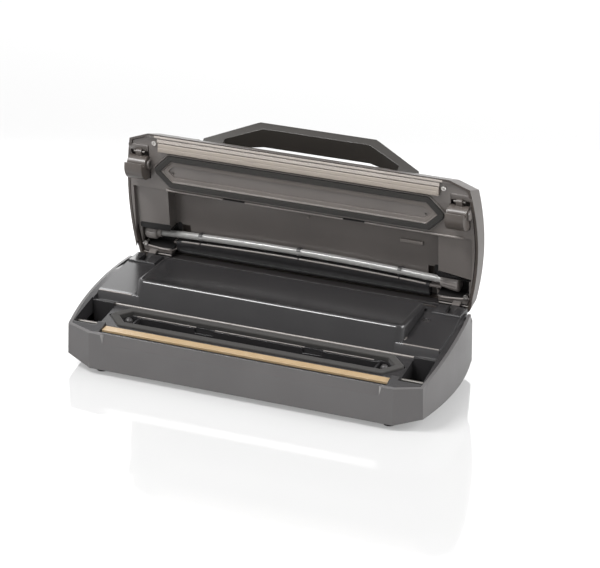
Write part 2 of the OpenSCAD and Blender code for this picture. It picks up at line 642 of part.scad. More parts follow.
module lid_liner() color([0.36, 0.34, 0.33]) on_lid() difference() {
    union() {
        difference() {
            lid_inside(body_gap);
            below_crown();
            rear_wall_cut();
            // sunk faces: seal field, side fields, box recess, hose pockets, claw pockets
            translate([-pocket_out + 1, lid_front + 4.4, -20]) cube([2 * pocket_out - 2, ledge_u - lid_front - 4.4, 20 + zone_face]);
            translate([-pocket_out + 1, ledge_u - 1, -20]) cube([2 * pocket_out - 2, lid_rear - ledge_u - 3, 20 + side_face]);
            translate([-box_half - 3, ledge_u + 2.2, -20]) cube([2 * box_half + 6, lid_rear - ledge_u - 6.4, 20 + recess_w]);
            both_sides() translate([box_half - 13, hose_u - 11, -20])
                cube([corner_half - 9.2 - box_half + 13, 23, 20 + pocket_floor]);
            both_sides() translate([claw_x - 0.2, claw_u - 18.5, -20]) cube([claw_w + 0.4, 37, 20 + 14]);
            translate([-strip_len / 2, 0.2, -20]) cube([strip_len, 9.6, 20 + 4.2]);
            translate([0, 0, -20]) linear_extrude(20 + gasket_h + seal_face + seal_split) hexagon(-body_gap);
            // bays above the seal field and above the recess floor
            translate([-strip_len / 2 - 1.7, lid_front + 7, bay_floor])
                cube([strip_len + 3.4, ledge_u - lid_front - 8.5, 40]);
            translate([-box_half + 3, ledge_u + 6, recess_w + 1.6]) cube([2 * box_half - 6, lid_rear - ledge_u - 14, 40]);
            handle_space();
        }
        hose_rail();
        pivot_ribs();
        hinge_arms();
        intersection() {
            lid_inside(body_gap);
            claw_bosses();
        }
    }
    pivot_place() cylinder(d = handle_pin_d, h = 400, center = true, $fn = 48);
    translate([0, claw_u, claw_axis_w]) rotate([0, 90, 0]) cylinder(d = claw_shaft_d, h = 2 * (claw_x + claw_w + claw_boss), center = true, $fn = 48);
    hinge_axis_on_lid() cylinder(d = hinge_pin_d + 0.1, h = 400, center = true, $fn = 48);
    lid_screw_places() translate([0, 0, -1]) cylinder(d = 3, h = 9, $fn = 24);
    for (x = [-70, 59.5]) translate([x - 12, ledge_u - 3, -1]) cube([24, 4, 6]);
}
rail_ends = [-box_half - 4, hose_x - clip_step, hose_x, hose_x + clip_step, box_half + 4];
rail_gap = 1;
module hose_rail() for (i = [0:3])
    translate([rail_ends[i] + rail_gap, hose_u + 6, hose_w - 4])
        cube([rail_ends[i + 1] - rail_ends[i] - 2 * rail_gap, 2, recess_w - hose_w + 4.2]);
module pivot_place() translate([0, pivot_u, pivot_w]) rotate([0, 90, 0]) children();
module pivot_ribs() both_sides() for (x = [leg_in - leg_gap - 3.2, handle_half + leg_gap + 0.2])
    translate([x, pivot_u - 6, bay_floor - 1]) {
        cube([3, 12, pivot_w - bay_floor + 1]);
        translate([0, 6, pivot_w - bay_floor + 1]) rotate([0, 90, 0]) cylinder(d = 12, h = 3, $fn = 48);
    }
module claw_bosses() both_sides() for (x = [claw_x - 0.2 - claw_boss, claw_x + claw_w + 0.2])
    translate([x, claw_u, claw_axis_w]) {
        rotate([0, 90, 0]) cylinder(d = claw_shaft_d + 4, h = claw_boss, $fn = 48);
        translate([0, -claw_shaft_d / 2 - 2, 0]) cube([claw_boss, claw_shaft_d + 4, 6]);
    }
module hinge_axis_on_lid() rotate([-rim_tilt, 0, 0]) translate([0, hinge_y - rim_y, hinge_z - rim_z])
    rotate([0, 90, 0]) children();
module hinge_arms() both_sides() hull() {
    hinge_axis_on_lid() translate([0, 0, arm_x0]) cylinder(r = arm_r, h = arm_x1 - arm_x0, $fn = 32);
    translate([arm_x0, lid_rear - 11, rear_cut_w]) cube([arm_x1 - arm_x0, 4, 5]);
}
module lid_screw_places() both_sides() for (p = [[strip_len / 2 + 4.1, 1.5, zone_face],
        [corner_half - 12.7, lid_rear - 17.4, side_face]])
    translate(p) children();
module lid_screws() color([0.5, 0.5, 0.52]) on_lid() lid_screw_places() difference() {
    union() {
        translate([0, 0, -1.4]) cylinder(d = 5, h = 1.4, $fn = 32);
        cylinder(d = 3, h = 6, $fn = 24);
    }
    for (a = [0, 90]) rotate(a) translate([-1.6, -0.4, -1.6]) cube([3.2, 0.8, 1]);
}

module chamber_plate() color([0.45, 0.42, 0.4]) on_lid() difference() {
    translate([0, 0, zone_face + 0.3]) linear_extrude(gasket_h + seal_face + seal_split - zone_face - 0.3)
        hexagon(gasket_band + 0.1);
    translate([0, 0, 0]) linear_extrude(zone_face + 1) hexagon(gasket_band + 2.2);
    both_sides() translate([port_x, gasket_mid + 2, 0]) cylinder(d = 2.6, h = 6, $fn = 24);
}
module upper_gasket() color([0.17, 0.16, 0.16]) on_lid()
    translate([0, 0, seal_face + seal_split]) gasket_ring(gasket_h);
module seal_bar() color([0.62, 0.58, 0.54]) on_lid() translate([-strip_len / 2 + 0.6, 0, 0])
    rotate([90, 0, 90]) linear_extrude(strip_len - 1.2)
        polygon([[0.5, 4.2], [0.5, -0.6], [1.1, -1.2], [8.9, -2.5], [9.5, -2], [9.5, 4.2]]);
module front_trim() color([0.75, 0.72, 0.69]) on_lid() difference() {
    translate([-strip_len / 2, lid_front + 4.8, -0.9]) cube([strip_len, 3.6, zone_face + 0.9]);
    for (x = [-94, 0, 94]) translate([x - 9, lid_front + 4, -2]) cube([18, 1.8, 2]);
}

module hose() color([0.75, 0.75, 0.76]) on_lid() translate([hose_x, hose_u - hose_bow + bow_r, hose_w])
    rotate([0, 0, -90 - bow_half]) rotate_extrude(angle = 2 * bow_half, $fn = 720)
        translate([bow_r, 0]) difference() {
            circle(d = hose_d, $fn = 32);
            circle(d = hose_d - 2.4, $fn = 32);
        }
bow_r = (pow(hose_span / 2, 2) + hose_bow * hose_bow) / (2 * hose_bow);
bow_half = asin(hose_span / 2 / bow_r);
module along_x(x) translate([x, hose_u, hose_w]) rotate([0, 90, 0]) children();
module hose_connector() color([0.2, 0.19, 0.2]) on_lid() along_x(hose_x - hose_span / 2 - 17) difference() {
    union() {
        cylinder(d = 9.6, h = 17, $fn = 48);
        for (i = [0:4]) translate([0, 0, 1.5 + i * 3]) cylinder(d1 = 12, d2 = 10.6, h = 1.8, $fn = 48);
    }
    translate([0, 0, -1]) cylinder(d = 4, h = 20, $fn = 32);
}
module hose_adapter() color([0.3, 0.29, 0.29]) on_lid() along_x(hose_x + hose_span / 2) difference() {
    union() {
        cylinder(d1 = 9, d2 = 11, h = 8, $fn = 48);
        translate([0, 0, 8]) cylinder(d = 12.6, h = 9, $fn = 48);
    }
    translate([0, 0, -1]) cylinder(d = 4, h = 20, $fn = 32);
}
module hose_clips() color([0.25, 0.24, 0.24]) on_lid() for (x = [-clip_step, 0, clip_step]) let (
        u = hose_u - hose_bow + bow_r - sqrt(bow_r * bow_r - pow(x, 2)))
    translate([hose_x + x, u, hose_w]) difference() {
        union() {
            rotate([0, 90, 0]) cylinder(d = hose_d + 2 * clip_t, h = 4, center = true, $fn = 48);
            translate([-2, -3, 0]) cube([4, 6, recess_w - hose_w]);
        }
        rotate([0, 90, 0]) cylinder(d = hose_d + 0.2, h = 6, center = true, $fn = 48);
        translate([-3, -2.4, -8]) cube([6, 4.8, 8]);
    }

// ---- handle and claws ----
module handle() color([0.36, 0.33, 0.31]) on_lid() difference() {
    intersection() {
        rotate([90, 0, 0]) translate([0, 0, -60]) linear_extrude(80) polygon([
            [-handle_half, 10], [-handle_half, 37], [-bar_half, bar_top], [bar_half, bar_top],
            [handle_half, 37], [handle_half, 10], [leg_in, 10], [leg_in, 39.5],
            [bar_half - 5, bar_top - bar_t], [5 - bar_half, bar_top - bar_t], [-leg_in, 39.5], [-leg_in, 10]]);
        across(handle_half, [[bar_front, bar_top], [bar_front, bar_top + 9], [bar_rear, bar_top + 9],
            [bar_rear, 40], [24, 35.2], [pivot_u + 5, 33.4], [pivot_u + 5, pivot_w], [pivot_u + 3, pivot_w - 4.5],
            [pivot_u - 3, pivot_w - 5], [pivot_u - 20, pivot_w + 3], [14, 27], [8, 35], [bar_front + 1, bar_top - 2]]);
    }
    pivot_place() cylinder(d = handle_pin_d + 0.1, h = 400, center = true, $fn = 48);
}
module handle_pins() color([0.7, 0.7, 0.72]) on_lid() both_sides()
    translate([leg_in - leg_gap - 3, pivot_u, pivot_w]) rotate([0, 90, 0])
        cylinder(d = handle_pin_d, h = handle_half - leg_in + 2 * leg_gap + 6, $fn = 48);

module claw_place() on_lid() translate([claw_x, claw_u, claw_axis_w]) rotate([90, 0, 90]) children();
hub_r = 8.6;
hook_in = 13.4;
mouth_deg = 246;
slot_deg = 260;
tail_deg = 375;
module sector(r, a0, a1) polygon(concat([[0, 0]], [for (i = [0:12]) let (a = a0 + (a1 - a0) * i / 12)
    [2 * r * cos(a), 2 * r * sin(a)]]));
module claw() claw_place() difference() {
    union() {
        linear_extrude(claw_w) intersection() {
            circle(r = claw_r, $fn = 96);
            difference() {
                sector(claw_r, mouth_deg, tail_deg);
                intersection() {
                    circle(r = hook_in, $fn = 96);
                    sector(claw_r, mouth_deg - 5, slot_deg);
                }
            }
        }
        cylinder(r = hub_r, h = claw_w, $fn = 64);
        translate([-12, 2, claw_w / 2 - 3]) cylinder(r = 3.2, h = 6, $fn = 32);
        translate([-12, -1.2, claw_w / 2 - 3]) cube([12, 6.4, 6]);
    }
    translate([0, 0, -1]) cylinder(d = claw_shaft_d + 0.1, h = claw_w + 2, $fn = 48);
    translate([-12, 2, -1]) cylinder(d = 2.8, h = claw_w + 2, $fn = 32);
}
module claw_pin() claw_place() translate([-12, 2, claw_w / 2 - 6]) cylinder(d = 2.8, h = 12, $fn = 32);
module claw_right() color([0.42, 0.39, 0.37]) claw();
module claw_left() color([0.42, 0.39, 0.37]) mirror([1, 0, 0]) claw();
module claw_pin_right() color([0.78, 0.78, 0.8]) claw_pin();
module claw_pin_left() color([0.78, 0.78, 0.8]) mirror([1, 0, 0]) claw_pin();
module claw_shafts() color([0.7, 0.7, 0.72]) on_lid() both_sides()
    translate([claw_x - claw_boss, claw_u, claw_axis_w]) rotate([0, 90, 0])
        cylinder(d = claw_shaft_d, h = claw_w + 2 * claw_boss, $fn = 48);

// ---- the whole part ----
module centred() translate([0, -y_centre, 0]) children();
centred() base_shell();
centred() bottom_plate();
centred() bottom_screws();
centred() feet();
centred() base_deck();
centred() raised_cover();
centred() hinge_covers();
centred() hinge_pins();
centred() latch_keepers();
centred() lower_gasket();
centred() heater_bar();
centred() heater_wire();
centred() seal_strip();
centred() suction_ports();
centred() vacuum_pump();
centred() pump_motor();
centred() pump_tube();
centred() transformer();
centred() power_board();
centred() inlet_socket();
centred() inlet_pins();
centred() lid_switch();
centred() drip_tray();
centred() lid_shell();
centred() lid_liner();
centred() chamber_plate();
centred() upper_gasket();
centred() seal_bar();
centred() front_trim();
centred() lid_screws();
centred() hose();
centred() hose_connector();
centred() hose_adapter();
centred() hose_clips();
centred() control_panel();
centred() control_board();
centred() led_lenses();
centred() claw_shafts();
centred() handle_pins();
centred() handle();
centred() claw_left();
centred() claw_right();
centred() claw_pin_left();
centred() claw_pin_right();
centred() push_button(0);  // vacuum_button
centred() push_button(1);  // seal_button
centred() push_button(2);  // pulse_button
centred() push_button(3);  // food_button
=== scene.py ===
import math
import bmesh
import bpy
from mathutils import Matrix, Vector


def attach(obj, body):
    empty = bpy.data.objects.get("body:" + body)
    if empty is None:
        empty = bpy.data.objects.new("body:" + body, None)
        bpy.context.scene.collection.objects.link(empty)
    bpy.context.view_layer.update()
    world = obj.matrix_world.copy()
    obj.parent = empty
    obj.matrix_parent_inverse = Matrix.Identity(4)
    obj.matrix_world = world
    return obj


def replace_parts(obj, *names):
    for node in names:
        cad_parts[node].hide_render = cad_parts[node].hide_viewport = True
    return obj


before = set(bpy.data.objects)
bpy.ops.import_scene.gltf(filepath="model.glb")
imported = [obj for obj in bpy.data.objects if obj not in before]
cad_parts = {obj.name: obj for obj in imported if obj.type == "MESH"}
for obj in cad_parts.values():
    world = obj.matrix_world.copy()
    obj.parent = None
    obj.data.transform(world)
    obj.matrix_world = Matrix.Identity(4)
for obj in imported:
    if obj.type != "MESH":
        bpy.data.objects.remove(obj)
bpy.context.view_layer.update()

# ---------------------------------------------------------------- places
# All lengths below are millimetres in the sealer's own design frame (front face at y 0, table at z 0).
# place() turns them into metres in the row's frame, whose origin lies MIDDLE_Y behind the front face.
MIDDLE_Y = 101.547
# front edge of the rim plane and its slope
RIM_Y, RIM_Z = 9.5, 46.5
TILT = math.radians(8.54)
# hinge axis, and the angle at which the lid stands open at rest
HINGE_Y, HINGE_Z = 149.2, 58.1
LID_OPEN = math.radians(91.2)
SIDES = (("left", -1), ("right", 1))


def place(x, y, z):
    """A point of the design frame, in metres and in the row's frame."""
    return Vector((x, y - MIDDLE_Y, z)) / 1000


def on_rim(x, u, w):
    """A point of the rim plane: x across, u along its slope, w away from the base."""
    c, s = math.cos(TILT), math.sin(TILT)
    return place(x, RIM_Y + u * c - w * s, RIM_Z + u * s + w * c)


def on_lid(x, u, w):
    """A point of the closed lid, carried to where the open lid holds it."""
    c, s = math.cos(TILT), math.sin(TILT)
    y = RIM_Y + u * c - w * s - HINGE_Y
    z = RIM_Z + u * s + w * c - HINGE_Z
    c, s = math.cos(LID_OPEN), math.sin(LID_OPEN)
    return place(x, HINGE_Y + c * y + s * z, HINGE_Z - s * y + c * z)


# ---------------------------------------------------------------- materials
# lengths in the materials are metres
EDGE_ROUNDING = 0.0006
GRAIN_SCALE = 1400
THREAD_PITCH = 0.0012


def linear(rgb):
    """The scene's own colour for an sRGB colour given as 0 to 255."""
    shares = [c / 255 for c in rgb]
    return [s / 12.92 if s <= 0.04045 else ((s + 0.055) / 1.055) ** 2.4 for s in shares] + [1]


def scaled(colour, factor):
    """A colour made darker or lighter by a factor."""
    return [min(1, c * factor) for c in colour[:3]] + [1]


class Graph:
    """A material's node tree, with short ways to add and join nodes."""

    def __init__(self, name):
        self.mat = bpy.data.materials.new(name)
        self.mat.use_nodes = True
        self.tree = self.mat.node_tree
        self.shader = self.tree.nodes["Principled BSDF"]
        self.coords = self.add("ShaderNodeTexCoord").outputs["Object"]

    def feed(self, socket, value):
        """Joins another node's output to a socket, or types a value into it."""
        if isinstance(value, bpy.types.NodeSocket):
            self.tree.links.new(value, socket)
        else:
            socket.default_value = value

    def add(self, kind, inputs=None, **settings):
        node = self.tree.nodes.new(kind)
        for key, value in settings.items():
            setattr(node, key, value)
        for key, value in (inputs or {}).items():
            self.feed(node.inputs[key], value)
        return node

    def math(self, operation, *values):
        return self.add("ShaderNodeMath", dict(enumerate(values)), operation=operation).outputs[0]

    def set(self, **sockets):
        """Sets inputs of the surface shader; an underscore stands for a space in their names."""
        for key, value in sockets.items():
            self.feed(self.shader.inputs[key.replace("_", " ")], value)

    def noise(self, scale, detail=3.0, coords=None):
        settings = {"Vector": coords or self.coords, "Scale": scale, "Detail": detail, "Roughness": 0.55}
        return self.add("ShaderNodeTexNoise", settings).outputs["Fac"]

    def span(self, value, low, high, out_low, out_high):
        """The value carried from one range to another."""
        settings = {"Value": value, "From Min": low, "From Max": high, "To Min": out_low, "To Max": out_high}
        return self.add("ShaderNodeMapRange", settings).outputs["Result"]

    def mix(self, factor, a, b):
        """A colour between two; sockets 0, 6, 7 and output 2 are the node's colour sockets."""
        return self.add("ShaderNodeMix", {0: factor, 6: a, 7: b}, data_type="RGBA").outputs[2]

    def axis(self, vector, name):
        return self.add("ShaderNodeSeparateXYZ", {0: vector}).outputs[name]

    def bump(self, height, strength, distance):
        """Fine relief, on top of a small rounding of the edges."""
        soft = self.add("ShaderNodeBevel", {"Radius": EDGE_ROUNDING}, samples=6).outputs["Normal"]
        settings = {"Height": height, "Strength": strength, "Distance": distance, "Normal": soft}
        self.set(Normal=self.add("ShaderNodeBump", settings).outputs["Normal"])


def moulded(name, rgb, rough, grain=0.1, vary=0.08, specular=0.5, coat=0.0, below=None):
    """Moulded or painted plastic: a fine grain, slow cloudy change of colour and gloss.

    below holds a height in metres and the colour of the painted shade under it.
    """
    g = Graph(name)
    base = linear(rgb)
    clouds = g.span(g.noise(14, 4), 0.3, 0.7, 0, 1)
    colour = g.mix(clouds, scaled(base, 1 - vary), scaled(base, 1 + vary))
    if below:
        height, shade_rgb = below
        # painted shade: under the height the plastic takes the darker colour
        lower = g.math("LESS_THAN", g.axis(g.coords, "Z"), height)
        colour = g.mix(lower, colour, linear(shade_rgb))
    g.set(Base_Color=colour, Roughness=g.span(g.noise(30, 3), 0.3, 0.7, rough - 0.02, rough + 0.03))
    g.set(Specular_IOR_Level=specular, Coat_Weight=coat, Coat_Roughness=0.3)
    g.bump(g.noise(GRAIN_SCALE, 2), grain, 0.00002)
    return g.mat


def metal(name, rgb, rough):
    """Drawn steel: bright, with fine lines along X."""
    g = Graph(name)
    stretched = g.add("ShaderNodeMapping", {"Vector": g.coords, "Scale": (12, 900, 900)}).outputs["Vector"]
    lines = g.noise(1.0, 4, coords=stretched)
    base = linear(rgb)
    g.set(Base_Color=g.mix(lines, scaled(base, 0.8), base))
    g.set(Roughness=g.span(lines, 0.3, 0.7, rough - 0.06, rough + 0.08), Metallic=1.0)
    g.bump(lines, 0.12, 0.0001)
    return g.mat


def foam(name, rgb):
    """Closed-cell foam rubber with a matt, finely pored skin."""
    g = Graph(name)
    pores = g.add("ShaderNodeTexVoronoi", {"Vector": g.coords, "Scale": 1400.0}).outputs["Distance"]
    base = linear(rgb)
    g.set(Base_Color=g.mix(g.span(pores, 0.1, 0.6, 0, 1), scaled(base, 0.7), base), Roughness=0.9)
    g.set(Sheen_Weight=0.15, Sheen_Roughness=0.6, Specular_IOR_Level=0.3)
    g.bump(g.span(pores, 0.0, 0.5, 0, 1), 0.5, 0.0002)
    return g.mat


def tape(name, rgb):
    """Glass-fibre cloth with a non-stick coat: a plain weave of threads, with a slight sheen and stains."""
    g = Graph(name)
    turns = [g.math("MULTIPLY", g.axis(g.coords, axis), 2 * math.pi / THREAD_PITCH) for axis in ("X", "Y")]
    weave = g.math("MULTIPLY", g.math("SINE", turns[0]), g.math("SINE", turns[1]))
    base = linear(rgb)
    cloth = g.mix(g.span(weave, -1, 1, 0, 1), scaled(base, 0.78), scaled(base, 1.12))
    stains = g.span(g.noise(90, 4), 0.35, 0.75, 0.0, 0.35)
    browned = [c * factor for c, factor in zip(base, (0.72, 0.62, 0.5, 1))]
    g.set(Base_Color=g.mix(stains, cloth, browned), Roughness=0.38, Specular_IOR_Level=0.6)
    g.bump(weave, 0.35, 0.0001)
    return g.mat


def clear_tube(name):
    """Milky, see-through hose plastic."""
    g = Graph(name)
    streaks = g.noise(40, 3)
    g.set(Base_Color=g.mix(streaks, linear((158, 157, 155)), linear((180, 179, 177))))
    g.set(Roughness=g.span(streaks, 0.3, 0.7, 0.12, 0.2))
    g.set(Transmission_Weight=0.25, IOR=1.42, Coat_Weight=0.5, Coat_Roughness=0.08)
    g.bump(g.noise(500, 2), 0.08, 0.0001)
    return g.mat


# ---------------------------------------------------------------- looks
# colours are sRGB, 0 to 255, and then comes the roughness
MAT = {
    "body": moulded("body_plastic", (88, 86, 86), 0.3, grain=0.1, specular=0.6),
    # the liner is darker low down: painted shade where it faces the deck
    "body_lid": moulded("lid_plastic", (104, 99, 96), 0.32, specular=0.6, below=(0.069, (40, 38, 38))),
    "shell": moulded("shell_plastic", (73, 66, 62), 0.3, grain=0.1, specular=0.6),
    "box": moulded("box_plastic", (43, 42, 43), 0.2, grain=0.03, specular=0.6),
    "dark": moulded("dark_plastic", (52, 50, 50), 0.45),
    "deck": moulded("deck_plastic", (45, 44, 45), 0.22, grain=0.06, specular=0.6),
    "handle": moulded("handle_plastic", (49, 46, 43), 0.3, grain=0.1),
    "claw": moulded("claw_plastic", (80, 74, 70), 0.32, grain=0.12),
    "dull": metal("dull_steel", (112, 109, 106), 0.45),
    "screw": metal("screw_steel", (225, 222, 218), 0.3),
    # lip: the liner's own colour on the chamber lip; on the box's flange, lighter than the box, a painted
    # highlight
    "lip": moulded("lip_plastic_and_flange_highlight", (106, 100, 96), 0.3, grain=0.1),
    # shade: painted shade, a near-black plastic for the pockets and the hollows round them
    "shade": moulded("recess_painted_shade", (32, 31, 31), 0.4, grain=0.1, specular=0.35),
    "polished": moulded("polished_facet", (122, 120, 119), 0.12, grain=0.02, specular=0.8),
    "black": moulded("slot_shadow", (22, 21, 21), 0.6),
    # edge: lighter than the plastic round it, a painted highlight along moulded edges and beads
    "edge": moulded("edge_painted_highlight", (128, 122, 118), 0.3, grain=0.1),
    "foam": foam("gasket_foam", (43, 41, 39)),
    "silicone": moulded("seal_silicone", (152, 143, 134), 0.48, grain=0.3, vary=0.05),
    "trim": moulded("front_trim_plastic", (180, 172, 165), 0.34, grain=0.15),
    "tape": tape("seal_tape", (176, 152, 118)),
    "hose": clear_tube("hose_tube"),
    "ribbed": moulded("fitting_plastic", (128, 123, 120), 0.3, grain=0.1),
    "steel": metal("steel", (205, 205, 208), 0.28),
    "wire": metal("heater_wire", (170, 165, 160), 0.35),
    "rubber": moulded("foot_rubber", (34, 33, 33), 0.8, grain=0.4),
    "panel": moulded("panel_gloss", (20, 20, 22), 0.12, grain=0.02, coat=0.8),
    "button": moulded("button_plastic", (120, 118, 118), 0.35),
    "lens": moulded("lens", (110, 190, 120), 0.2, grain=0.02),
    "board": moulded("board_green", (30, 84, 52), 0.5),
    "copper": metal("copper_core", (190, 120, 80), 0.4),
}

# look of each CAD node
NODE_LOOK = {
    "base_shell": "body", "base_deck": "deck", "bottom_plate": "dark", "bottom_screws": "steel",
    "feet": "rubber", "raised_cover": "box", "hinge_covers": "deck", "hinge_pins": "steel",
    "latch_keepers": "dull",
    "lower_gasket": "foam", "heater_bar": "dark", "heater_wire": "wire", "seal_strip": "tape",
    "suction_ports": "dark", "vacuum_pump": "dark", "pump_motor": "steel", "pump_tube": "hose",
    "transformer": "copper", "power_board": "board", "inlet_socket": "dark", "inlet_pins": "steel",
    "lid_switch": "dark", "drip_tray": "box", "lid_shell": "shell", "lid_liner": "body_lid",
    "chamber_plate": "body_lid", "upper_gasket": "foam", "seal_bar": "silicone", "front_trim": "trim",
    "lid_screws": "screw", "hose": "hose", "hose_connector": "dark", "hose_adapter": "dark",
    "hose_clips": "dark", "control_panel": "panel", "control_board": "board", "led_lenses": "lens",
    "claw_shafts": "dull",
    "handle_pins": "steel", "handle": "dark", "claw_left": "dark", "claw_right": "dark",
    "claw_pin_left": "dull", "claw_pin_right": "dull", "vacuum_button": "button", "seal_button": "button",
    "pulse_button": "button", "food_button": "button",
}


def dress(obj, look):
    obj.data.materials.clear()
    obj.data.materials.append(MAT[look])


for node_name, look in NODE_LOOK.items():
    dress(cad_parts[node_name], look)

# ---------------------------------------------------------------- camera
scene = bpy.context.scene
# the camera, solved from left-right pairs of points of the object in the photo; its place is in metres
CAMERA_PLACE = (0.871, -2.1395, 1.0497)
YAW, PITCH, ROLL = math.radians(21.63), math.radians(22.6), math.radians(1.14)
FOCAL_PX, CENTRE_X_PX, CENTRE_Y_PX = 2526.0, 300.0, 281.3
PHOTO_W, PHOTO_H = 600, 568
SENSOR_W = 36


def set_camera():
    """Level, right and ahead are the horizontal directions; the camera is then pitched and rolled."""
    level = Vector((-math.sin(YAW), math.cos(YAW), 0))
    right = Vector((math.cos(YAW), math.sin(YAW), 0))
    ahead = level * math.cos(PITCH) - Vector((0, 0, math.sin(PITCH)))
    upward = level * math.sin(PITCH) + Vector((0, 0, math.cos(PITCH)))
    turned = right * math.cos(ROLL) + upward * math.sin(ROLL)
    raised = upward * math.cos(ROLL) - right * math.sin(ROLL)
    data = bpy.data.cameras.new("view")
    data.sensor_width = SENSOR_W
    data.lens = FOCAL_PX * SENSOR_W / PHOTO_W
    data.shift_x = (PHOTO_W / 2 - CENTRE_X_PX) / PHOTO_W
    data.shift_y = (CENTRE_Y_PX - PHOTO_H / 2) / PHOTO_W
    data.clip_end = 60
    camera = bpy.data.objects.new("view", data)
    scene.collection.objects.link(camera)
    facing = Matrix((turned, raised, -ahead)).transposed().to_4x4()
    camera.matrix_world = Matrix.Translation(CAMERA_PLACE) @ facing
    scene.camera = camera
    scene.view_settings.view_transform = "Standard"


set_camera()


# ---------------------------------------------------------------- light
WHITE = (1, 1, 1, 1)
AMBIENT = 0.55


def area_light(name, place_at, aim, size, power):
    """A rectangular lamp that points at a place; all in metres and watts."""
    data = bpy.data.lights.new(name, "AREA")
    data.shape = "RECTANGLE"
    data.size, data.size_y = size
    data.energy = power
    lamp = bpy.data.objects.new(name, data)
    scene.collection.objects.link(lamp)
    lamp.location = place_at
    lamp.rotation_euler = (Vector(aim) - Vector(place_at)).to_track_quat("-Z", "Y").to_euler()
    return lamp


def studio_world():
    """Even light on surfaces, and a white studio as the camera and the gloss see it."""
    world = bpy.data.worlds.new("studio")
    scene.world = world
    world.use_nodes = True
    tree = world.node_tree

    def add(kind, operation=None):
        node = tree.nodes.new(kind)
        if operation:
            node.operation = operation
        return node

    even = tree.nodes["Background"]
    even.inputs["Color"].default_value = WHITE
    even.inputs["Strength"].default_value = AMBIENT
    studio = add("ShaderNodeBackground")
    studio.inputs["Color"].default_value = WHITE
    paths = add("ShaderNodeLightPath")
    shown = add("ShaderNodeMath", "MAXIMUM")
    tree.links.new(paths.outputs["Is Camera Ray"], shown.inputs[0])
    tree.links.new(paths.outputs["Is Glossy Ray"], shown.inputs[1])
    # the studio is darker on the photographer's side, as reflections show it
    facing = add("ShaderNodeVectorMath", "DOT_PRODUCT")
    facing.inputs[1].default_value = (0.2, -0.95, 0.2)
    tree.links.new(add("ShaderNodeTexCoord").outputs["Generated"], facing.inputs[0])
    dimmed = add("ShaderNodeMapRange")
    for key, value in (("From Min", -0.1), ("From Max", 0.75), ("To Min", 1.0), ("To Max", 0.45)):
        dimmed.inputs[key].default_value = value
    tree.links.new(facing.outputs["Value"], dimmed.inputs["Value"])
    # but the camera itself sees it white all round
    brightness = add("ShaderNodeMath", "MAXIMUM")
    tree.links.new(dimmed.outputs[0], brightness.inputs[0])
    tree.links.new(paths.outputs["Is Camera Ray"], brightness.inputs[1])
    tree.links.new(brightness.outputs[0], studio.inputs["Strength"])
    blend = add("ShaderNodeMixShader")
    for i, source in enumerate((shown, even, studio)):
        tree.links.new(source.outputs[0], blend.inputs[i])
    tree.links.new(blend.outputs[0], tree.nodes["World Output"].inputs["Surface"])


area_light("key", (1.9, 0.2, 1.3), (0, 0, 0.08), (1.4, 1.2), 41)
edge = area_light("edge", (-0.7, -0.8, 1.8), (0, 0, 0.1), (0.9, 0.45), 34)
edge.visible_glossy = False
area_light("back", (-0.95, 2.3, 1.15), (0, 0, 0.1), (1.7, 0.9), 16)
fill = area_light("fill", (-1.0, -1.5, 0.95), (-0.1, 0, 0.12), (1.0, 0.8), 9.5)
fill.visible_glossy = False
# a strip that only the gloss of the edges shows
glint = area_light("glint", (-0.7, -1.05, 1.65), (0, 0, 0.1), (1.1, 0.35), 42)
glint.visible_diffuse = False
studio_world()


# ---------------------------------------------------------------- floor
FLOOR_LOW, FLOOR_HIGH = (0.575, 0.575, 0.575, 1), (0.595, 0.595, 0.595, 1)
FLOOR_GLOW = 1.02
# the floor's own glow, seen by the camera only, grows from near to far over this stretch of y
GLOW_NEAR_Y, GLOW_FAR_Y = 0.3, 0.95
GLOW_NEAR, GLOW_FAR = 0.28, 1.0
# sunk a little, so that the feet don't share its plane
FLOOR_Z = -0.0002


def floor_look():
    """Glossy white board; behind the object it runs out into the white of the studio."""
    g = Graph("floor_gloss")
    g.set(Base_Color=g.mix(g.noise(3, 2), FLOOR_LOW, FLOOR_HIGH), Roughness=0.06, IOR=1.7)
    glow = g.add("ShaderNodeEmission", {"Color": WHITE, "Strength": FLOOR_GLOW})
    seen = g.add("ShaderNodeLightPath").outputs["Is Camera Ray"]
    far = g.axis(g.add("ShaderNodeNewGeometry").outputs["Position"], "Y")
    share = g.math("MULTIPLY", seen, g.span(far, GLOW_NEAR_Y, GLOW_FAR_Y, GLOW_NEAR, GLOW_FAR))
    both = g.add("ShaderNodeMixShader", {0: share, 1: g.shader.outputs[0], 2: glow.outputs[0]})
    g.tree.links.new(both.outputs[0], g.tree.nodes["Material Output"].inputs["Surface"])
    return g.mat


def floor():
    """A flat board, 18 m square, that stands outside the object."""
    mesh = bpy.data.meshes.new("floor")
    form = bmesh.new()
    bmesh.ops.create_grid(form, x_segments=24, y_segments=24, size=9)
    form.to_mesh(mesh)
    form.free()
    obj = bpy.data.objects.new("floor", mesh)
    scene.collection.objects.link(obj)
    obj.data.materials.append(floor_look())
    obj.location.z = FLOOR_Z


floor()


# ---------------------------------------------------------------- ways to make pieces
def piece(name, verts, faces, look, body, slot, bevel=0.0, segments=2, flat_below=35):
    """A mesh piece that rides on a body, with rounded edges and smooth shading below an angle."""
    mesh = bpy.data.meshes.new(name)
    mesh.from_pydata([tuple(v) for v in verts], [], faces)
    form = bmesh.new()
    form.from_mesh(mesh)
    bmesh.ops.recalc_face_normals(form, faces=form.faces)
    form.to_mesh(mesh)
    form.free()
    mesh.polygons.foreach_set("use_smooth", [True] * len(mesh.polygons))
    mesh.set_sharp_from_angle(angle=math.radians(flat_below))
    obj = bpy.data.objects.new(name, mesh)
    scene.collection.objects.link(obj)
    dress(obj, look)
    if bevel:
        rounding = obj.modifiers.new("edges", "BEVEL")
        rounding.width = bevel / 1000
        rounding.segments = segments
        rounding.limit_method = "ANGLE"
        rounding.angle_limit = math.radians(30)
        rounding.harden_normals = True
    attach(obj, body)
    return obj


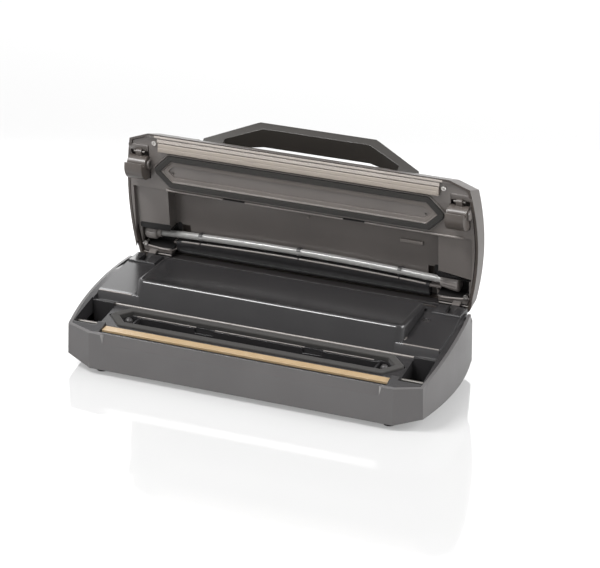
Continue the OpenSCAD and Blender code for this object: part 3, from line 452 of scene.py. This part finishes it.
def stack(name, rings, look, body, slot, closed=False, **more):
    """A skin through rings that have the same number of points; closed joins the last ring to the first."""
    n = len(rings[0])
    count = len(rings)
    verts = [p for ring_points in rings for p in ring_points]
    faces = []
    for k in range(count if closed else count - 1):
        a, b = k * n, (k + 1) % count * n
        faces += [(a + i, a + (i + 1) % n, b + (i + 1) % n, b + i) for i in range(n)]
    if not closed:
        faces += [tuple(range(n)), tuple(range((count - 1) * n, count * n))]
    return piece(name, verts, faces, look, body, slot, **more)


def along_x(name, section, x0, x1, to_world, look, body, slot, **more):
    """A section drawn as (u, w) points, run from x0 to x1."""
    return stack(name, [[to_world(x, u, w) for u, w in section] for x in (x0, x1)], look, body, slot, **more)


def rounded(corners, radius, steps):
    """The closed outline with each corner replaced by an arc."""
    out = []
    for i, corner in enumerate(corners):
        c = Vector(corner)
        to_last = (Vector(corners[i - 1]) - c).normalized()
        to_next = (Vector(corners[(i + 1) % len(corners)]) - c).normalized()
        half = to_last.angle(to_next) / 2
        reach = radius / math.tan(half)
        centre = c + (to_last + to_next).normalized() * (radius / math.sin(half))
        start = c + to_last * reach - centre
        end = c + to_next * reach - centre
        for k in range(steps + 1):
            t = k / steps
            spoke = (start * (1 - t) + end * t).normalized() * radius
            out.append(tuple(centre + spoke))
    return out


def box_of(x0, u0, x1, u1):
    """The four corners of a rectangle."""
    return [(x0, u0), (x1, u0), (x1, u1), (x0, u1)]


def spread(x0, x1, steps):
    """Evenly spaced places from one to the other, both ends included."""
    return [x0 + (x1 - x0) * i / steps for i in range(steps + 1)]


# the gaskets' six-sided outline, with two pointed ends
GASKET_TIP, GASKET_POINT, GASKET_FRONT, GASKET_DEPTH = 157.0, 18.0, 13.2, 36.0
GASKET_CORNER, GASKET_LEAST_CORNER = 5.0, 0.8
TIP_SLOPE = GASKET_POINT / (GASKET_DEPTH / 2)


def hexagon(inset):
    """Outline of the gaskets, drawn in by a distance, with rounded corners."""
    tip = GASKET_TIP - inset * math.sqrt(1 + TIP_SLOPE ** 2)
    flat = tip - (GASKET_DEPTH / 2 - inset) * TIP_SLOPE
    front, rear = GASKET_FRONT + inset, GASKET_FRONT + GASKET_DEPTH - inset
    middle = GASKET_FRONT + GASKET_DEPTH / 2
    corners = [(-flat, front), (flat, front), (tip, middle), (flat, rear), (-flat, rear), (-tip, middle)]
    return rounded(corners, max(GASKET_LEAST_CORNER, GASKET_CORNER - inset), 5)


def ring(name, section, to_world, look, body, slot):
    """A band that follows the gaskets' outline; section holds (inset, w) points."""
    rings = [[to_world(x, u, w) for x, u in hexagon(inset)] for inset, w in section]
    return stack(name, rings, look, body, slot, closed=True)


def bead(name, path, thick, to_world, look, body, slot):
    """A half-sunk round bead along a path of (x, u, w) points."""
    sides = 10
    points = [to_world(*p) for p in path]
    rings = []
    for i, p in enumerate(points):
        ahead_of = (points[min(i + 1, len(points) - 1)] - points[max(i - 1, 0)]).normalized()
        side = ahead_of.orthogonal().normalized()
        up = ahead_of.cross(side)
        turns = (2 * math.pi * k / sides for k in range(sides))
        rings.append([p + (side * math.cos(a) + up * math.sin(a)) * thick / 2000 for a in turns])
    # each ring starts at the point nearest to the start of the one before, so that the skin has no twist
    for i in range(1, len(rings)):
        start = rings[i - 1][0] + points[i] - points[i - 1]
        nearest = min(range(sides), key=lambda k: (rings[i][k] - start).length)
        rings[i] = rings[i][nearest:] + rings[i][:nearest]
    return stack(name, rings, look, body, slot)


def lathe_x(name, profile, x0, u, w, ribs, rib_depth):
    """A turned hose fitting on the lid, round an axis along X, with wavy ribs where the profile says so."""
    sides = 176
    rings = []
    for along, radius, ribbed in profile:
        ring_points = []
        for k in range(sides):
            a = 2 * math.pi * k / sides
            r = radius - rib_depth * (0.5 - 0.5 * math.cos(ribs * a)) if ribbed else radius
            ring_points.append(on_lid(x0 + along, u + r * math.cos(a), w + r * math.sin(a)))
        rings.append(ring_points)
    return stack(name, rings, "ribbed", "lid", "fitting", flat_below=50)


def merged_mesh(node, flat_within):
    """Points and faces of a CAD node, with doubled points joined and flat faces made whole."""
    form = bmesh.new()
    form.from_mesh(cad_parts[node].data)
    bmesh.ops.remove_doubles(form, verts=form.verts, dist=1e-6)
    bmesh.ops.dissolve_limit(form, angle_limit=math.radians(flat_within), verts=form.verts, edges=form.edges)
    form.verts.index_update()
    points = [v.co.copy() for v in form.verts]
    faces = [[v.index for v in f.verts] for f in form.faces]
    form.free()
    return points, faces


def softened(name, node, width, look, body, slot):
    """A copy of a CAD node's mesh with its edges rounded by a width in mm, which stands for the node."""
    points, faces = merged_mesh(node, 1.0)
    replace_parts(piece(name, points, faces, look, body, slot, bevel=width, segments=3), node)


# ---------------------------------------------------------------- raised box, handle and claws
BOX_HALF, BOX_FRONT, BOX_REAR, BOX_TOP = 143.0, 71.0, 141.0, 76.0
# radius of its upright corners, rounding of its upper edge, and how far its walls lean in
BOX_CORNER, BOX_EDGE, BOX_DRAFT = 9.0, 3.4, 0.6
TROUGH_EDGE_Z, DECK_Z = 50.4, 61.3


def box_outline(inset, z, forward=0.0):
    """Outline of the raised box at a height; its front wall leans forward to its foot."""
    x, y0, y1 = BOX_HALF - inset, BOX_FRONT + inset - forward, BOX_REAR - inset
    return [place(px, py, z) for px, py in rounded(box_of(-x, y0, x, y1), BOX_CORNER - inset, 8)]


def raised_box():
    """The box over the pump; its front wall runs down past the deck to the trough."""
    shoulder = BOX_TOP - BOX_EDGE
    rings = [box_outline(0, TROUGH_EDGE_Z, 9.0), box_outline(0, DECK_Z, 5.5)]
    rings.append(box_outline(BOX_DRAFT, shoulder, 0.3))
    for degrees in (22, 45, 68, 90):
        a = math.radians(degrees)
        rings.append(box_outline(BOX_DRAFT + BOX_EDGE * (1 - math.cos(a)), shoulder + BOX_EDGE * math.sin(a)))
    # the top is sunk a little inside its edge
    rings += [box_outline(5.2, BOX_TOP - 0.15), box_outline(5.8, BOX_TOP - 0.45)]
    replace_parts(stack("raised_box", rings, "box", "base", "box", flat_below=40), "raised_cover")


raised_box()
softened("grip", "handle", 1.6, "handle", "handle", "handle_plastic")
for side, sign in SIDES:
    softened("claw_body_" + side, "claw_" + side, 0.9, "claw", "claw_" + side, "claw_plastic")

# ---------------------------------------------------------------- seal bar and gaskets
# sections along X are drawn as (u, w) points
STRIP_HALF = 150.3
PRESS_BAR = [(0.5, 4.0), (0.5, -0.2), (1.1, -1.0), (4.1, -1.7), (4.5, -1.3), (4.9, -1.8), (8.6, -2.4),
             (9.3, -2.2), (9.5, -1.6), (9.5, 4.0)]
LID_LIP = [(-8.2, 1.0), (-8.2, -0.4), (-7.6, -1.0), (-5.7, -1.0), (-5.1, -0.4), (-5.1, 1.0)]
# sections round the gaskets, as (distance inside their outline, w) points
LID_FOAM = [(0.1, 3.4), (0.1, -0.6), (0.8, -1.25), (5.2, -1.25), (5.9, -0.6), (5.9, 3.4)]
TROUGH_FOAM = [(0.1, -6.4), (0.1, -2.4), (0.9, -1.75), (7.1, -1.75), (7.9, -2.4), (7.9, -6.4)]
GASKET_LIP = [(-0.5, 1.6), (-0.5, 0.3), (-1.0, -0.1), (-1.7, 0.2), (-1.9, 1.6)]
CHAMBER_LIP = [(6.0, 3.4), (6.0, 0.2), (6.5, -0.5), (7.1, -0.2), (7.5, 0.9), (11.5, 1.1), (11.5, 3.4)]

# silicone press bar with the shallow step that runs along it, then the light lip in front of it
press_bar = along_x("press_bar", PRESS_BAR, 0.6 - STRIP_HALF, STRIP_HALF - 0.6, on_lid, "silicone", "lid",
                    "silicone", bevel=0.35)
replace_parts(press_bar, "seal_bar")
along_x("lid_lip", LID_LIP, -STRIP_HALF - 3, STRIP_HALF + 3, on_lid, "trim", "lid", "trim", bevel=0.3)
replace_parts(ring("lid_gasket", LID_FOAM, on_lid, "foam", "lid", "gasket"), "upper_gasket")
ring("lid_gasket_lip", GASKET_LIP, on_lid, "body_lid", "lid", "liner")
ring("chamber_lip", CHAMBER_LIP, on_lid, "lip", "lid", "liner")
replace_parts(ring("trough_gasket", TROUGH_FOAM, on_rim, "foam", "base", "gasket"), "lower_gasket")

# ---------------------------------------------------------------- ledge and recess of the lid
# w of the liner's faces: beside the recess, and at the recess floor
SIDE_W, RECESS_W = 8.0, 23.6
LEDGE_U = 55.5
LEDGE = [(LEDGE_U - 2.6, 3.6), (LEDGE_U - 2.6, 1.8), (LEDGE_U - 2.0, 1.3), (LEDGE_U - 1.1, 1.3),
         (LEDGE_U - 0.6, 1.8), (LEDGE_U - 0.6, 4.6)]
LEDGE_SLOT = [(LEDGE_U - 2.2, 3.4), (LEDGE_U - 2.2, 2.6), (LEDGE_U - 0.8, 2.6), (LEDGE_U - 0.8, 6)]
SLOTS = ((-82.0, -58.0), (48.0, 71.0))
DOTS = ((-105, 66, RECESS_W), (105, 66, RECESS_W), (-96, 56.2, SIDE_W), (94, 56.2, SIDE_W))
STOP_BAR = [(76.4, RECESS_W), (76.4, RECESS_W - 1.8), (77.2, RECESS_W - 2.4), (79.6, RECESS_W - 2.4),
            (80.4, RECESS_W - 1.8), (80.4, RECESS_W)]
CATCH = [(69, RECESS_W), (69, RECESS_W - 1.2), (71.6, RECESS_W - 1.2), (71.6, RECESS_W)]


def ledge():
    """The ledge under the gasket, in lengths between its slots."""
    ends = [-BOX_HALF - 2] + [x for slot in SLOTS for x in slot] + [BOX_HALF + 31]
    for i in range(0, len(ends), 2):
        # painted highlight: the ledge takes the lighter edge colour
        along_x(f"ledge_{i // 2}", LEDGE, ends[i], ends[i + 1], on_lid, "edge", "lid", "liner", bevel=0.4)
    for i, (x0, x1) in enumerate(SLOTS):
        along_x(f"ledge_slot_{i}", LEDGE_SLOT, x0, x1, on_lid, "black", "lid", "liner", bevel=0.2)


def lid_dot(name, x, u, w):
    """A small dark plug that stands a little proud of the liner."""
    sides = 20
    rings = []
    for radius, proud in ((1.5, 0), (1.5, 0.3), (0.9, 0.5)):
        turns = (2 * math.pi * k / sides for k in range(sides))
        rings.append([on_lid(x + radius * math.cos(a), u + radius * math.sin(a), w - proud) for a in turns])
    stack(name, rings, "black", "lid", "liner")


ledge()
for i, (x, u, w) in enumerate(DOTS):
    lid_dot(f"lid_dot_{i}", x, u, w)
# painted highlight: the stop bar and the catch take the lighter edge colour
along_x("stop_bar", STOP_BAR, 101, 125, on_lid, "edge", "lid", "liner", bevel=0.5)
along_x("catch", CATCH, 0.6, 3.4, on_lid, "edge", "lid", "liner", bevel=0.3)

# ---------------------------------------------------------------- accessory hose
# its ends lie HALF_SPAN to each side of HOSE_X at HOSE_U, and it bows by HOSE_BOW in the middle
HOSE_X, HOSE_U, HOSE_W, HOSE_BOW, HOSE_D = -7.2, 113.8, 19.0, 4.0, 7.5
HALF_SPAN = 153.0
HOSE_STEPS = 30
BOW_RADIUS = (HALF_SPAN ** 2 + HOSE_BOW ** 2) / (2 * HOSE_BOW)
# turned fittings, as (distance along the hose, radius, ribbed) points
CONNECTOR_LEN = 17
CONNECTOR = [(0, 3.2, False), (0, 6.8, False), (0.6, 7.5, False), (1.4, 7.8, True), (7, 8.0, True),
             (11.6, 7.8, True), (12.4, 7.2, False), (13.2, 5.4, False), (CONNECTOR_LEN, 5.1, False),
             (CONNECTOR_LEN, 3.9, False)]
ADAPTER = [(0, 4.2, False), (0, 6.0, False), (1.0, 6.8, True), (8, 8.1, True), (9, 8.4, True),
           (18.2, 9.5, True), (19.2, 9.2, False), (19.8, 8.3, False), (19.8, 3.0, False)]


def hose_u(run):
    """Place along the lid of the hose's arc, at a distance across from its middle."""
    return HOSE_U - HOSE_BOW + BOW_RADIUS - math.sqrt(BOW_RADIUS ** 2 - run * run)


def hose_point(run):
    """A point of the hose's centre line."""
    return on_lid(HOSE_X + run, hose_u(run), HOSE_W)


def hose_run():
    """The hose, taut on its shallow arc between the two fittings."""
    curve = bpy.data.curves.new("hose_run", "CURVE")
    curve.dimensions = "3D"
    curve.bevel_depth = HOSE_D / 2000
    curve.bevel_resolution = 8
    curve.use_fill_caps = True
    line = curve.splines.new("POLY")
    line.points.add(HOSE_STEPS)
    for i in range(HOSE_STEPS + 1):
        line.points[i].co = (*hose_point(HALF_SPAN * (2 * i / HOSE_STEPS - 1)), 1)
    obj = bpy.data.objects.new("hose_run", curve)
    scene.collection.objects.link(obj)
    dress(obj, "hose")
    return obj


hose = hose_run()
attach(hose, "lid")
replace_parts(hose, "hose")
connector = lathe_x("connector_grip", CONNECTOR, HOSE_X - HALF_SPAN - CONNECTOR_LEN, HOSE_U, HOSE_W,
                    ribs=22, rib_depth=0.55)
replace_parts(connector, "hose_connector")
adapter = lathe_x("adapter_grip", ADAPTER, HOSE_X + HALF_SPAN, HOSE_U, HOSE_W, ribs=16, rib_depth=0.5)
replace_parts(adapter, "hose_adapter")

# ---------------------------------------------------------------- rail and foot of the recess
# distance between the hose's clips, and half a clip's width
CLIP_STEP = 0.356 * 2 * HALF_SPAN
CLIP_HALF = 0.9
RAIL_DROP, RAIL_W = 6.0, 15.2
RAIL_ENDS = [-138.0, HOSE_X - CLIP_STEP, HOSE_X, HOSE_X + CLIP_STEP, 131.0]
# rear of the foot below the rail, as (u, w) points
FOOT_REAR = [(123.5, 14.4), (128, 14.8), (131.5, 15.8), (134.2, 17.8), (134.4, 23.5)]


def rail_u(x):
    """Place along the lid of the rail, which follows the hose."""
    return hose_u(max(-HALF_SPAN, min(HALF_SPAN, x - HOSE_X))) + RAIL_DROP


def foot_section(x):
    """Section of the foot of the recess, dark with painted shade; its front edge follows the rail."""
    u = rail_u(x)
    front = [(u + 0.2, 23.5), (u, 16.0), (u + 0.5, 15.1), (u + 1.6, 14.6)]
    return [on_lid(x, *p) for p in front + FOOT_REAR]


# the rail runs in lengths between the hose's clips
for i in range(len(RAIL_ENDS) - 1):
    x0, x1 = RAIL_ENDS[i] + CLIP_HALF, RAIL_ENDS[i + 1] - CLIP_HALF
    path = [(x, rail_u(x) + 0.3, RAIL_W) for x in spread(x0, x1, 8)]
    # painted highlight: the rail's bead takes the lighter edge colour
    bead(f"rail_edge_{i}", path, 1.9, on_lid, "edge", "lid", "liner")
# painted shade: the foot of the recess takes the dark deck colour
stack("recess_foot", [foot_section(x) for x in spread(-BOX_HALF, BOX_HALF - 9, 40)], "deck", "lid", "liner")

# ---------------------------------------------------------------- pockets beside the recess
POCKET_IN, POCKET_OUT, POCKET_TOP, POCKET_FOOT = 144.4, 181.0, 103.1, 125.5
POCKET_SKIN = 0.4
# moulded rim along the pocket's lower edge, which turns down into the recess, as (x, u, w) points
POCKET_RIM = [(178.5, 124.2, 8.1), (168, 125.8, 8.1), (156, 127.0, 8.1), (149.5, 127.2, 8.3),
              (146.0, 127.6, 9.6), (144.2, 128.0, 13.0), (142.6, 127.6, 17.5), (140.2, 126.0, 21.5),
              (137.6, 122.8, 23.0), (136.4, 118.5, 23.3)]
CLAW_COWL = [(5.6, 1.7), (5.6, 1.1), (6.2, 0.7), (11.6, 0.9), (12.4, 1.5), (12.6, 2.6), (6.2, 2.6)]


def fitting_pocket(side, sign, bay_x, brow_shadow_u):
    """Pocket round a hose fitting, dark with painted shade, as is its bay in the recess, and a painted shadow
    over its upper edge.
    """
    def slab(name, outline, w0, w1):
        rings = [[on_lid(sign * x, u, w) for x, u in outline] for w in (w0, w1)]
        stack(f"fitting_{name}_{side}", rings, "shade", "lid", "liner")

    # three walls, open towards the recess: the outer outline, then the inner one on the way back
    walls = box_of(POCKET_IN, POCKET_TOP, POCKET_OUT, POCKET_FOOT)
    top, foot, out = POCKET_TOP + POCKET_SKIN, POCKET_FOOT - POCKET_SKIN, POCKET_OUT - POCKET_SKIN
    walls += [(POCKET_IN, foot), (out, foot), (out, top), (POCKET_IN, top)]
    # the walls and the floor take the shade colour: painted shade inside the pocket
    slab("pocket", walls, 25.3, 8.5)
    slab("floor", rounded(box_of(POCKET_IN + 0.2, POCKET_TOP, POCKET_OUT, POCKET_FOOT), 2.0, 5), 25.35, 25.1)
    # a dark sheet on the recess floor: painted shade beside the pocket
    slab("bay", rounded(box_of(bay_x, 100.5, 143.6, 127.5), 2.0, 6), 23.55, 23.3)
    # a dark sheet over the pocket's upper edge: painted shadow
    brow_shadow = [(144.8, 97.2), (179.6, brow_shadow_u), (179.6, 104.6), (144.8, 104.6)]
    slab("brow_shadow", rounded(brow_shadow, 2.4, 6), 8.05, 7.85)


for (side, sign), (bay_x, brow_shadow_u) in zip(SIDES, ((139.5, 98.2), (136.5, 102.2))):
    fitting_pocket(side, sign, bay_x, brow_shadow_u)
    rim = [(sign * x, u, w) for x, u, w in POCKET_RIM]
    # painted highlight: the pocket's rim and the liner's rear edge take the lighter edge colour
    bead("fitting_rim_" + side, rim, 1.9, on_lid, "edge", "lid", "liner")
    rear_edge = [(sign * x, 133.3, 8.2) for x in spread(146.5, 178.5, 4)]
    bead("liner_rear_edge_" + side, rear_edge, 1.6, on_lid, "edge", "lid", "liner")
    # cowl over the upper part of the claw's pocket
    along_x("claw_cowl_" + side, CLAW_COWL, sign * 161.8, sign * 183.2, on_lid, "body_lid", "lid", "liner")

# ---------------------------------------------------------------- deck of the base
DECK_HALF = 181.6
# nosing of the deck, as (y, z) points: its flat runs forward to a steep face behind the trough
NOSING = [(62.3, 50.2), (62.5, 51.0), (65.6, 60.5), (66.3, 61.25), (71.2, 61.35), (71.2, 50.2)]
# ribs on the trough's rear wall, as (u, w) points and the ends of each
TROUGH_RIB = [(41.6, -6.2), (40.9, -6.4), (40.7, -7.0), (40.9, -7.4), (41.6, -7.4)]
RIB_ENDS = ((-131.0, -66.5), (-46.5, 49.0), (68.5, 121.0))
# flange round the foot of the raised box, as (z, distance outward) points
FLANGE = [(60.6, -1.0), (60.6, 1.3), (61.5, 1.3), (62.1, 0.8), (62.3, -1.0)]
FLANGE_CORNER = 9.4


def box_flange():
    """The flange, which shows at the sides and the rear of the raised box; its light colour is a painted
    highlight along the box's foot.
    """
    x, front, rear = BOX_HALF + 0.4, BOX_FRONT - 1.0, BOX_REAR + 0.2
    outline = [place(px, py, 0) for px, py in rounded(box_of(-x, front, x, rear), FLANGE_CORNER, 8)]
    middle = place(0, (BOX_FRONT + BOX_REAR) / 2, 0)
    rings = [[p + Vector((0, 0, z / 1000)) + (p - middle).normalized() * out / 1000 for p in outline]
             for z, out in FLANGE]
    stack("box_flange", rings, "lip", "base", "deck", closed=True)


along_x("deck_nosing", NOSING, -DECK_HALF, DECK_HALF, place, "deck", "base", "deck")
# the lip behind the trough's gasket, in the lighter edge colour as a painted highlight
bead("trough_edge", [(x, 51.4, -2.9) for x in spread(-174, 174, 24)], 2.3, on_rim, "edge", "base", "deck")
# painted highlight: the ribs take the lighter edge colour
for i, (x0, x1) in enumerate(RIB_ENDS):
    along_x(f"trough_rib_{i}", TROUGH_RIB, x0, x1, on_rim, "edge", "base", "deck", bevel=0.2)
for side, sign in SIDES:
    # painted highlight: the deck's front edges take the lighter edge colour
    front_edge = [(sign * x, 66.1, 61.1) for x in spread(BOX_HALF + 1.5, 181.0, 4)]
    bead("deck_edge_" + side, front_edge, 1.3, place, "edge", "base", "deck")
box_flange()

# polished faces of the two notches in the front band, as (x, y, z) points
NOTCH = ((145.2, -0.05, 34.2), (147.6, -0.05, 43.4), (144.1, 2.4, 43.4))
for side, sign in SIDES:
    face = [place(sign * x, y, z) for x, y, z in NOTCH]
    back = [p + Vector((sign * 0.4, 0.25, 0)) / 1000 for p in face]
    stack("notch_face_" + side, [face, back], "polished", "base", "housing")

# ---------------------------------------------------------------- housings
# the lid's sides move out by up to SIDE_OUT at height SIDE_HIGH, from x SIDE_FROM on, over SIDE_BLEND
SIDE_FROM, SIDE_BLEND, SIDE_OUT, SIDE_HIGH = 120, 50, 4.6, 30


def lid_frame(p):
    """The x, u and w of a point of the open lid."""
    y, z = p.y * 1000 + MIDDLE_Y - HINGE_Y, p.z * 1000 - HINGE_Z
    c, s = math.cos(LID_OPEN), math.sin(LID_OPEN)
    y, z = HINGE_Y + c * y - s * z - RIM_Y, HINGE_Z + s * y + c * z - RIM_Z
    c, s = math.cos(TILT), math.sin(TILT)
    return p.x * 1000, c * y + s * z, c * z - s * y


def upright_side(p):
    """The lid's sides stand nearly square to its rim before they round over."""
    x, u, w = lid_frame(p)
    if w < 0.5 or abs(x) < SIDE_FROM:
        return p
    share = min(1.0, (abs(x) - SIDE_FROM) / SIDE_BLEND)
    eased = share * share * (3 - 2 * share)
    return on_lid(x + math.copysign(eased * SIDE_OUT * min(w, SIDE_HIGH) / SIDE_HIGH, x), u, w)


def smooth_skin(name, node, look, body, reshape=None):
    """A copy of a housing, with smooth shading along its bowed sides, that stands for the node."""
    points, faces = merged_mesh(node, 0.4)
    if reshape:
        points = [reshape(p) for p in points]
    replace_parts(piece(name, points, faces, look, body, "housing", flat_below=13), node)


smooth_skin("lid_skin", "lid_shell", "shell", "lid", reshape=upright_side)
smooth_skin("base_skin", "base_shell", "body", "base")
